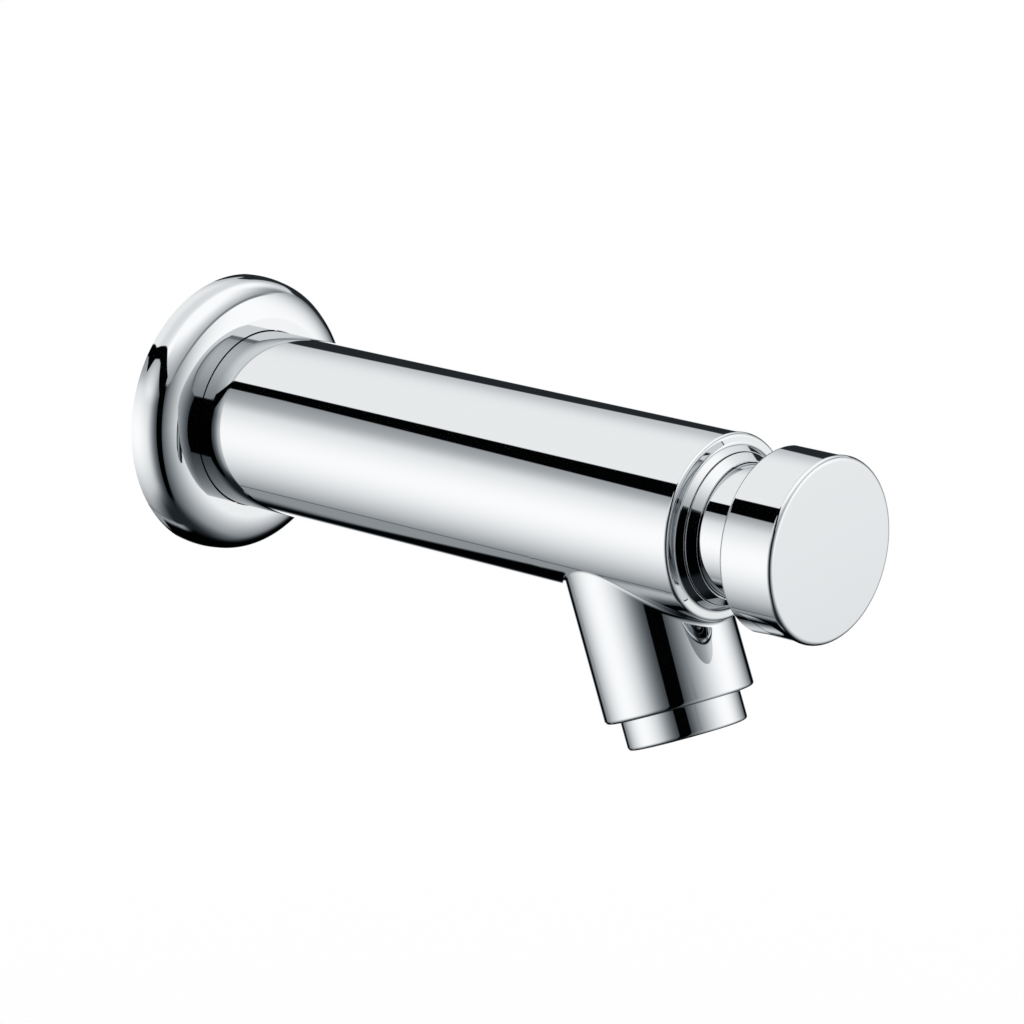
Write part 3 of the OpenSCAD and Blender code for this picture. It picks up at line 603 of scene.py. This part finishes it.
class TAP_OT_body(bpy.types.Operator):
    """Turn the body tube and the spout, and blend them into one casting"""

    bl_idname = "tap.body"
    bl_label = "Tap body"

    def tube(self, body, edge, rear, front):
        rows = [rear + (front - rear) * i / HOLE_ROWS for i in range(HOLE_ROWS + 1)]
        corners = [
            (body.inlet, body.rear, 0),
            (body.radius - body.rear_chamfer, body.rear, 0),
            (body.radius, body.rear + body.rear_chamfer, 0),
            (body.radius, body.grip_low, 0),
            (body.grip_radius, body.grip_low, 0),
            (body.grip_radius, body.grip_high, 0),
            (body.radius, body.grip_high, 0),
            *[(body.radius, row, 0) for row in rows],
            (body.radius, body.front, body.front_round),
            (body.collar, body.front, body.collar_fillet),
            (body.bore, body.collar_front, edge),
            (body.bore, body.shoulder, 0),
            (body.supply, body.shoulder, 0),
            (body.supply, body.taper_high, 0),
            (body.inlet, body.taper_low, 0),
        ]
        piece = turned("body_casting", rounded(corners, True), Vector(), TAP_AXIS, DOWN, TUBE_STEPS)
        edit(piece)
        bpy.ops.mesh.select_mode(type="FACE")
        bpy.ops.mesh.select_all(action="DESELECT")
        bpy.ops.object.mode_set(mode="OBJECT")
        half_hole = FULL_TURN * HOLE_COLUMNS / TUBE_STEPS / 2
        for face in piece.data.polygons:
            place = face.center
            on_skin = math.hypot(place.x, place.z) > body.bore + MM
            below = abs(math.atan2(place.x, -place.z)) < half_hole
            face.select = on_skin and below and rear < -place.y < front
        bpy.ops.object.mode_set(mode="EDIT")
        bpy.ops.mesh.delete(type="FACE")
        bpy.ops.object.mode_set(mode="OBJECT")
        return piece

    def spout(self, body, blend):
        marks = [(body.spout_radius, k * BLEND_MARK, 0) for k in range(BLEND_STEPS + 1)]
        corners = [
            *marks,
            (body.spout_radius, body.spout_length, body.spout_round),
            (body.aerator_hole, body.spout_length, 0),
            (body.aerator_hole, body.aerator_ledge, 0),
            (body.spout_bore, body.aerator_ledge, 0),
            (body.spout_bore, body.spout_roof, 0),
            (0, body.spout_roof, 0),
        ]
        steps = 2 * (HOLE_COLUMNS + HOLE_ROWS)
        piece = turned("spout", rounded(corners, False), blend.start, blend.axis, RIGHT, steps, closed=False)
        for vertex in piece.data.vertices:
            mark = round((vertex.co - blend.start).dot(blend.axis) / BLEND_MARK)
            if mark <= BLEND_STEPS:
                vertex.co = blend.point(blend.angle(vertex.co), mark / BLEND_STEPS)
        return piece

    def execute(self, context):
        body = context.scene.tap_body
        blend = SpoutBlend(body)
        rear, front = blend.reach()
        edge = context.scene.tap_front.bezel_edge
        piece = self.tube(body, edge, rear - HOLE_REAR_ROOM, front + HOLE_FRONT_ROOM)
        spout = self.spout(body, blend)
        only(piece)
        spout.select_set(True)
        bpy.ops.object.join()
        known = len(piece.data.vertices)
        bpy.ops.object.mode_set(mode="EDIT")
        bpy.ops.mesh.select_mode(type="EDGE")
        bpy.ops.mesh.select_all(action="DESELECT")
        bpy.ops.mesh.select_non_manifold(
            extend=False, use_wire=False, use_boundary=True, use_multi_face=False,
            use_non_contiguous=False, use_verts=False,
        )
        bpy.ops.mesh.bridge_edge_loops(number_cuts=BRIDGE_CUTS, interpolation="LINEAR")
        bpy.ops.object.mode_set(mode="OBJECT")
        for vertex in piece.data.vertices[known:]:
            scale = body.radius / math.hypot(vertex.co.x, vertex.co.z)
            vertex.co.x *= scale
            vertex.co.z *= scale
        edit(piece)
        bpy.ops.mesh.normals_make_consistent(inside=False)
        bpy.ops.object.mode_set(mode="OBJECT")
        smooth(piece)
        seat(piece, "tap", "chrome", "tap_body")
        return {"FINISHED"}


class TAP_OT_bezel(bpy.types.Operator):
    """Turn the ring nut whose cone carries on from the body's collar"""

    bl_idname = "tap.bezel"
    bl_label = "Front bezel"

    def execute(self, context):
        sizes = context.scene.tap_front
        corners = [
            (sizes.bezel_inside, sizes.bezel_rear, 0),
            (sizes.bezel_radius, sizes.bezel_rear, 0),
            (sizes.bezel_radius, sizes.bezel_shoulder, sizes.bezel_edge),
            (sizes.bezel_inside + sizes.bezel_tip, sizes.bezel_front, sizes.bezel_edge),
            (sizes.bezel_inside, sizes.bezel_front, 0),
        ]
        piece = turned("bezel_ring", rounded(corners, True), Vector(), TAP_AXIS, DOWN, TURN_STEPS)
        smooth(piece)
        seat(piece, "tap", "chrome", "front_bezel")
        return {"FINISHED"}


class TAP_OT_button(bpy.types.Operator):
    """Turn the push button with its hollow neck"""

    bl_idname = "tap.button"
    bl_label = "Push button"

    def execute(self, context):
        sizes = context.scene.tap_front
        corners = [
            (0, sizes.button_front, 0),
            (sizes.button_radius, sizes.button_front, sizes.button_round),
            (sizes.button_radius, sizes.button_rear, sizes.button_round),
            (sizes.neck_radius, sizes.button_rear, 0),
            (sizes.neck_radius, sizes.neck_rear, 0),
            (sizes.neck_inside, sizes.neck_rear, 0),
            (sizes.neck_inside, sizes.button_floor, 0),
            (sizes.hub_radius, sizes.button_floor, 0),
            (sizes.hub_radius, sizes.button_rear, 0),
            (sizes.hub_hole, sizes.button_rear, 0),
            (sizes.hub_hole, sizes.hub_floor, 0),
            (0, sizes.hub_floor, 0),
        ]
        piece = turned(
            "button_head", rounded(corners, False), Vector(), TAP_AXIS, DOWN, TURN_STEPS, closed=False
        )
        smooth(piece)
        seat(piece, "button", "chrome", "push_button")
        return {"FINISHED"}


class TAP_OT_aerator(bpy.types.Operator):
    """Turn the aerator's ring at the end of the spout"""

    bl_idname = "tap.aerator"
    bl_label = "Aerator ring"

    def execute(self, context):
        body = context.scene.tap_body
        blend = SpoutBlend(body)
        lip = body.aerator_end - body.aerator_lip
        corners = [
            (body.aerator_inside, body.aerator_top, 0),
            (body.aerator_thread, body.aerator_top, 0),
            (body.aerator_thread, body.spout_length, 0),
            (body.aerator_radius, body.spout_length, 0),
            (body.aerator_radius, body.aerator_end, body.aerator_round),
            (body.aerator_mouth, body.aerator_end, 0),
            (body.aerator_mouth, lip, 0),
            (body.aerator_inside, lip, 0),
        ]
        piece = turned("aerator_ring", rounded(corners, True), blend.start, blend.axis, RIGHT, TURN_STEPS)
        smooth(piece)
        seat(piece, "tap", "chrome", "aerator_shell")
        return {"FINISHED"}


class TAP_OT_nipple(bpy.types.Operator):
    """Turn the inlet nipple and cut its thread"""

    bl_idname = "tap.nipple"
    bl_label = "Inlet nipple"

    def execute(self, context):
        wall = context.scene.tap_wall
        body = context.scene.tap_body
        tip = wall.nipple_radius - wall.nipple_chamfer
        relief = wall.nipple_radius - wall.nipple_relief
        low = wall.nipple_rear + wall.nipple_chamfer
        count = math.ceil(-low / wall.thread_pitch * THREAD_ROWS)
        rows = [low * (1 - i / count) for i in range(count + 1)]
        corners = [
            (wall.nipple_bore, wall.nipple_front, 0),
            (wall.nipple_bore, wall.nipple_rear + wall.strainer_depth, 0),
            (wall.strainer_seat, wall.nipple_rear + wall.strainer_depth, 0),
            (wall.strainer_seat, wall.nipple_rear, 0),
            (tip, wall.nipple_rear, 0),
            *[(wall.nipple_radius, row, 0) for row in rows],
            (relief, 0, 0),
            (relief, body.rear, 0),
            (wall.nipple_radius, body.rear, 0),
            (wall.nipple_radius, wall.nipple_front - wall.nipple_chamfer, 0),
            (tip, wall.nipple_front, 0),
        ]
        piece = turned("inlet_thread", rounded(corners, True), Vector(), TAP_AXIS, DOWN, TUBE_STEPS)
        for vertex in piece.data.vertices:
            place = vertex.co
            radius = math.hypot(place.x, place.z)
            depth_room = min(place.y, -low - place.y) / THREAD_RUNOUT
            if radius < wall.nipple_radius - MERGE_REACH or depth_room <= 0:
                continue
            turn = math.atan2(place.z, place.x) / FULL_TURN - place.y / wall.thread_pitch
            groove = wall.thread_depth * (0.5 - 0.5 * math.cos(FULL_TURN * turn)) * min(1, depth_room)
            place.x *= 1 - groove / radius
            place.z *= 1 - groove / radius
        smooth(piece)
        seat(piece, "tap", "brass", "inlet_nipple")
        return {"FINISHED"}


class TAP_OT_spring(bpy.types.Operator):
    """Wind the return spring as a coil of fixed length; the real spring shortens as the button goes in"""

    bl_idname = "tap.spring"
    bl_label = "Return spring"

    def execute(self, context):
        sizes = context.scene.tap_front
        wire = sizes.spring_wire / 2
        rise = sizes.spring_front - sizes.spring_rear - 2 * wire
        bpy.ops.object.select_all(action="DESELECT")
        bpy.ops.mesh.primitive_circle_add(
            vertices=SPRING_SIDES, radius=wire, location=(sizes.spring_mean, -sizes.spring_rear - wire, 0)
        )
        piece = bpy.context.active_object
        piece.name = "spring_coil"
        piece.data.name = "spring_coil"
        bpy.ops.object.transform_apply(location=True, rotation=True, scale=True)
        coil = piece.modifiers.new("coil", "SCREW")
        coil.axis = "Y"
        coil.screw_offset = -rise / sizes.spring_turns
        coil.iterations = sizes.spring_turns
        coil.steps = SPRING_STEPS
        coil.render_steps = SPRING_STEPS
        bpy.ops.object.modifier_apply(modifier=coil.name)
        edit(piece)
        bpy.ops.mesh.fill_holes(sides=SPRING_SIDES)
        bpy.ops.mesh.normals_make_consistent(inside=False)
        bpy.ops.object.mode_set(mode="OBJECT")
        smooth(piece)
        seat(piece, "tap", "steel", "return_spring")
        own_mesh(piece)
        return {"FINISHED"}


# Studio. Greys are as the eye sees them. A turn is in degrees from the camera's upright plane, a
# height in degrees above the horizon, and an angle round the tap in degrees from its right side.
# WALL, ACROSS and UP are shares of a direction to the wall, to the right and upwards. Apart from
# LEFT_PANEL, a pair of values is a soft step, from none at the first to all at the second.

WHITE = 1.0
BLACK = 0.03
DARKEST = 0.02
GREY_POWER = (2.30, 2.2, 2.12)
REPEAT_KEEP = 0.82
SIDES_ACROSS = (-0.02, 0.02)

# Panel on the left: the turn and height of its middle, and how it fades
LEFT_PANEL = (-80.0, -12.0)
LEFT_FALL = 1.05
LEFT_NEAR_SHADE = 0.25
LEFT_NEAR_TURN = (50, 12)
LEFT_GLOW = 0.12
LEFT_GLOW_WALL = (0.55, 0.3)
LEFT_GLOW_HEIGHT = (8, 20)
LEFT_TOP_SHADE = 0.17
LEFT_TOP_START = (162, 144)
LEFT_TOP_END = (120, 130)
LEFT_TOP_WALL = (0.45, 0.6)

# Panel on the right: the turn of its middle, and how it fades
RIGHT_PANEL = 88.0
RIGHT_FALL = 0.85
RIGHT_FAR_FALL = 1.5
RIGHT_FAR = (0.0, 0.15)
RIGHT_LEVEL = 1.1
RIGHT_SLOPE = 0.0105

# Ground under the tap, its dark wedge, its seam and the dark gap at the back
GROUND_GREY = 0.16
GROUND_HEIGHT = (-48, -75)
STRIP_GREY = 0.56
STRIP_WALL = (-0.05, 0.25)
STRIP_ROUND = (-95, -92)
STRIP_HEIGHT = (-38, -44)
WEDGE_PLANE = Vector((-0.4187, 0.7297, 0.5406))
WEDGE_EDGE = (0.012, -0.012)
WEDGE_HEIGHT = (-27, -35)
WEDGE_WALL = (-0.28, 0.08)
WEDGE_ACROSS = (0.0, 0.12)
SEAM_GREY = 0.4
SEAM_ROUND = -93.2
SEAM_EDGE = (1.3, 0.5)
SEAM_WALL = (0.3, 0.5)
GAP_GREY = 0.04
GAP_TURN = (139, 147)
GAP_HEIGHT = (-46, -38)

# White screen behind the tap
SCREEN_TURN = (152, 162)
SCREEN_FOOT = (-37, -29)
SCREEN_TOP = (8, -2)

# Black band over the left, which leans and widens to the front and slides along the body
BAND_ROUND = 131
BAND_HALF = 5.3
BAND_EDGE = (0.75, -0.75)
BAND_LEAN = 28.5
BAND_SPREAD = 6.5
FORWARD_WALL = 0.32
BODY_WALL = (0.45, 0.58)
BODY_HALF = 2.0
SLIDE_WALL = 0.65
SLIDE_LEAST = -0.06
SLIDE_MOST = 0.04
SLIDE_TURN = 90
SLIDE_NARROW = 45

# Ceiling: on the left it starts at the band, on the right at an arched cornice
ROOF_ROUND = (0, 1)
ARCH_TURN = 80
ARCH_REACH = 75
ARCH_FOOT = 7
ARCH_RISE = 27
ARCH_LEAST = 0.42
ARCH_EDGE = (-1, 1)
FRONT_SHADE = 0.42
FRONT_WALL = (0.05, -0.25)
FRONT_HEIGHT = (70, 10)
MIDDLE_SHADE = 0.14
MIDDLE_WALL = (0.1, 0.4)
REAR_GLOW = 0.065
REAR_WALL = (0.45, 0.62)
FAR_SHADE = 0.17
FAR_ACROSS = (-0.1, 0.6)
FAR_UP = (0.75, 0.4)
CORNICE_GREY = 0.5
CORNICE_EDGE = (3.2, 1.2)
CORNICE_START = (18, 26)
CORNICE_END = (120, 100)

# Dark wall at the back right, whose edge steps up towards the wall
BACK_GREY = 0.17
BACK_ROUND = 20
BACK_EDGE = (1.5, -1.5)
BACK_STEP_UP = 16
BACK_STEP_UP_WALL = (0.3, 0.55)
BACK_STEP_DOWN = 10
BACK_STEP_DOWN_WALL = (0.58, 0.62)
BACK_SLOPE = 140
BACK_TURN = (135, 142)
BACK_UP = (0.0, 0.05)

# Dark slot at the camera, between the panels
SLOT_TURN = -2.5
SLOT_LEAN = 1 / 6
SLOT_EDGE = (12.0, 10.6)
SLOT_TOP = (22, 18)
SLOT_FOOT = (-60, -52)


def heading(toward, right, turn, height):
    """Direction at a turn from the camera and a height, both in degrees."""
    turn = math.radians(turn)
    height = math.radians(height)
    level = toward * math.cos(turn) + right * math.sin(turn)
    return level * math.cos(height) - DOWN * math.sin(height)


class Studio:
    """Grey of the studio in every direction: panels, ground, screen, ceiling and dark gaps."""

    def __init__(self, tree, toward, right):
        self.tree = tree
        self.way = Socket.node(tree, "ShaderNodeTexCoord", output="Generated")
        self.left_middle = self.along(heading(toward, right, *LEFT_PANEL))
        self.x = self.along(RIGHT)
        self.y = self.along(-TAP_AXIS)
        self.z = self.along(-DOWN)
        across = self.along(right)
        self.on_right = across.rise(*SIDES_ACROSS)
        self.aside = self.degrees(across, self.along(toward))
        self.turn = abs(self.aside)
        self.height = math.degrees(1) * self.z.math("ARCSINE", self.z)
        self.round_tap = self.degrees(self.z, self.x)

    def along(self, direction):
        settings = {"operation": "DOT_PRODUCT"}
        inputs = {0: self.way, 1: direction}
        return Socket.node(self.tree, "ShaderNodeVectorMath", settings, inputs, output="Value")

    def degrees(self, first, second):
        return math.degrees(1) * first.math("ARCTAN2", first, second)

    def panels(self):
        left = WHITE - LEFT_FALL * (1 - self.left_middle)
        left = left * (1 - LEFT_NEAR_SHADE * self.turn.rise(*LEFT_NEAR_TURN))
        left = left + LEFT_GLOW * self.y.rise(*LEFT_GLOW_WALL) * self.height.rise(*LEFT_GLOW_HEIGHT)
        top = self.round_tap.rise(*LEFT_TOP_START) * self.round_tap.rise(*LEFT_TOP_END)
        left = left * (1 - LEFT_TOP_SHADE * top * self.y.rise(*LEFT_TOP_WALL))
        off_panel = math.radians(1) * (self.turn - RIGHT_PANEL)
        fall = RIGHT_FALL + (RIGHT_FAR_FALL - RIGHT_FALL) * off_panel.rise(*RIGHT_FAR)
        right = WHITE - fall * (1 - off_panel.math("COSINE", off_panel))
        right = right * (RIGHT_LEVEL + RIGHT_SLOPE * self.height).smaller(1.0)
        return left.blend(right, self.on_right)

    def ground(self, grey):
        grey = grey.blend(GROUND_GREY, self.height.rise(*GROUND_HEIGHT))
        strip = self.y.rise(*STRIP_WALL) * self.round_tap.rise(*STRIP_ROUND)
        strip = strip * self.height.rise(*STRIP_HEIGHT)
        grey = grey.blend(STRIP_GREY, strip)
        wedge = self.along(WEDGE_PLANE).rise(*WEDGE_EDGE) * self.height.rise(*WEDGE_HEIGHT)
        grey = grey.blend(BLACK, wedge * self.y.rise(*WEDGE_WALL) * self.x.rise(*WEDGE_ACROSS))
        seam = abs(self.round_tap - SEAM_ROUND).rise(*SEAM_EDGE) * self.y.rise(*SEAM_WALL)
        grey = grey.blend(SEAM_GREY, seam)
        return grey.blend(GAP_GREY, self.turn.rise(*GAP_TURN) * self.height.rise(*GAP_HEIGHT))

    def screen(self):
        return self.turn.rise(*SCREEN_TURN) * self.height.rise(*SCREEN_FOOT) * self.height.rise(*SCREEN_TOP)

    def band(self):
        """Angle round the tap and half width of the black band."""
        slide = (self.y - SLIDE_WALL).larger(SLIDE_LEAST).smaller(SLIDE_MOST)
        on_body = self.y.rise(*BODY_WALL)
        forward = (FORWARD_WALL - self.y).larger(0.0)
        middle = BAND_ROUND + BAND_LEAN * forward - SLIDE_TURN * slide * on_body
        half = BAND_HALF + BAND_SPREAD * forward + (BODY_HALF - SLIDE_NARROW * slide) * on_body
        return middle, half

    def ceiling(self):
        low_front = self.y.rise(*FRONT_WALL) * self.height.rise(*FRONT_HEIGHT)
        grey = WHITE - FRONT_SHADE * low_front - MIDDLE_SHADE * self.y.rise(*MIDDLE_WALL)
        grey = grey + REAR_GLOW * self.y.rise(*REAR_WALL)
        return grey - FAR_SHADE * (self.x.rise(*FAR_ACROSS) * self.z.rise(*FAR_UP))

    def dark_back(self):
        edge = BACK_ROUND + BACK_STEP_UP * self.y.rise(*BACK_STEP_UP_WALL)
        edge = edge - BACK_STEP_DOWN * self.y.rise(*BACK_STEP_DOWN_WALL)
        edge = edge + BACK_SLOPE * (self.y - BACK_STEP_DOWN_WALL[1]).larger(0.0)
        inside = (self.round_tap - edge).rise(*BACK_EDGE)
        return inside * self.turn.rise(*BACK_TURN) * self.z.rise(*BACK_UP)

    def overhead(self, grey):
        middle, half = self.band()
        on_left = self.round_tap.rise(*ROOF_ROUND) * (self.round_tap - middle + half).rise(*BAND_EDGE)
        off_arch = self.turn - ARCH_TURN
        arch = (1 - off_arch * off_arch * (1 / ARCH_REACH**2)).larger(ARCH_LEAST)
        above = self.height - ARCH_FOOT - ARCH_RISE * arch
        grey = grey.blend(self.ceiling(), on_left.blend(above.rise(*ARCH_EDGE), self.on_right))
        cornice = abs(above).rise(*CORNICE_EDGE) * self.on_right
        cornice = cornice * self.turn.rise(*CORNICE_START) * self.turn.rise(*CORNICE_END)
        grey = grey.blend(CORNICE_GREY, cornice)
        grey = grey.blend(BACK_GREY, self.dark_back())
        band = (abs(self.round_tap - middle) - half).rise(*BAND_EDGE)
        return grey.blend(BLACK, band * (1 - self.on_right))

    def slot(self):
        inside = abs(self.aside + self.height * SLOT_LEAN - SLOT_TURN).rise(*SLOT_EDGE)
        return inside * self.height.rise(*SLOT_TOP) * self.height.rise(*SLOT_FOOT)

    def grey(self):
        """The whole studio, dimmer in each repeated reflection."""
        grey = self.ground(self.panels()).blend(WHITE, self.screen())
        grey = self.overhead(grey).blend(BLACK, self.slot())
        grey = grey.larger(DARKEST).smaller(WHITE)
        repeats = Socket.node(self.tree, "ShaderNodeLightPath", output="Glossy Depth") - 1
        return grey * grey.math("POWER", REPEAT_KEEP, repeats.larger(0.0))


class TAP_OT_stage(bpy.types.Operator):
    """Set up the floor, the studio and the camera"""

    bl_idname = "tap.stage"
    bl_label = "Studio and camera"

    def camera(self, context, back, right, up):
        stage = context.scene.tap_stage
        bpy.ops.object.camera_add()
        camera = context.active_object
        camera.name = "camera"
        place = Vector(stage.target) + back * stage.distance
        turned_right = right * math.cos(stage.roll) + up * math.sin(stage.roll)
        turned_up = up * math.cos(stage.roll) - right * math.sin(stage.roll)
        rows = [(turned_right[i], turned_up[i], back[i], place[i]) for i in range(3)]
        camera.matrix_world = Matrix((*rows, (0, 0, 0, 1)))
        camera.data.lens = stage.lens
        camera.data.clip_start = CLIP_START
        context.scene.camera = camera

    def floor(self, stage):
        bpy.ops.object.select_all(action="DESELECT")
        bpy.ops.mesh.primitive_plane_add(size=stage.floor_size, location=DOWN * stage.floor_drop)
        floor = bpy.context.active_object
        floor.name = "floor"
        material, tree, surface = new_finish("floor")
        link(tree, surface, Base_Color=(*stage.floor, 1), Roughness=0.9, Specular_IOR_Level=0.0)
        clear = tree.nodes.new("ShaderNodeBsdfTransparent")
        under = Socket.node(tree, "ShaderNodeNewGeometry", output="Backfacing")
        sides = {0: under, 1: Socket(tree, surface.outputs[0]), 2: Socket(tree, clear.outputs[0])}
        both = Socket.node(tree, "ShaderNodeMixShader", None, sides)
        tree.links.new(both.output, tree.nodes["Material Output"].inputs["Surface"])
        floor.data.materials.append(material)
        floor.visible_glossy = False

    def execute(self, context):
        stage = context.scene.tap_stage
        level = math.cos(stage.elevation)
        toward = Vector((math.sin(stage.azimuth), -math.cos(stage.azimuth), 0))
        back = toward * level - DOWN * math.sin(stage.elevation)
        right = (-back).cross(-DOWN).normalized()
        up = right.cross(-back)
        self.camera(context, back, right, up)
        self.floor(stage)

        world = bpy.data.worlds.new("studio")
        context.scene.world = world
        world.use_nodes = True
        tree = world.node_tree
        grey = Studio(tree, toward, right).grey()
        channels = {name: grey**power for name, power in zip(("Red", "Green", "Blue"), GREY_POWER)}
        seen = Socket.node(tree, "ShaderNodeCombineColor", None, channels)
        glossy = Socket.node(tree, "ShaderNodeLightPath", output="Is Glossy Ray")
        inputs = {6: (1, 1, 1, 1), 7: seen, "Factor": glossy}
        colour = Socket.node(tree, "ShaderNodeMix", {"data_type": "RGBA"}, inputs, output=2)
        tree.links.new(colour.output, tree.nodes["Background"].inputs["Color"])
        context.scene.view_settings.view_transform = "Standard"
        return {"FINISHED"}


PIECE_OPERATORS = (
    TAP_OT_finishes,
    TAP_OT_rosette,
    TAP_OT_body,
    TAP_OT_bezel,
    TAP_OT_button,
    TAP_OT_aerator,
    TAP_OT_nipple,
    TAP_OT_spring,
    TAP_OT_stage,
)
SETTINGS = {
    "tap_wall": TapWallSizes,
    "tap_body": TapBodySizes,
    "tap_front": TapFrontSizes,
    "tap_finishes": TapFinishes,
    "tap_stage": TapStage,
}


class TAP_PT_sidebar(bpy.types.Panel):
    """Lists the tap's pieces and sizes"""

    bl_label = "Push tap"
    bl_idname = "TAP_PT_sidebar"
    bl_space_type = "VIEW_3D"
    bl_region_type = "UI"
    bl_category = "Push tap"

    def draw(self, context):
        for operator in PIECE_OPERATORS:
            self.layout.operator(operator.bl_idname)
        for name in SETTINGS:
            group = getattr(context.scene, name)
            box = self.layout.box()
            for field in group.bl_rna.properties:
                if not field.is_readonly and field.identifier != "name":
                    box.prop(group, field.identifier)


CLASSES = (*SETTINGS.values(), *PIECE_OPERATORS, TAP_PT_sidebar)


def register():
    for cls in CLASSES:
        bpy.utils.register_class(cls)
    for name, group in SETTINGS.items():
        setattr(bpy.types.Scene, name, PointerProperty(type=group))


def unregister():
    for name in SETTINGS:
        delattr(bpy.types.Scene, name)
    for cls in reversed(CLASSES):
        bpy.utils.unregister_class(cls)


def main():
    register()
    for operator in PIECE_OPERATORS:
        family, name = operator.bl_idname.split(".")
        getattr(getattr(bpy.ops, family), name)()


if __name__ == "__main__":
    main()
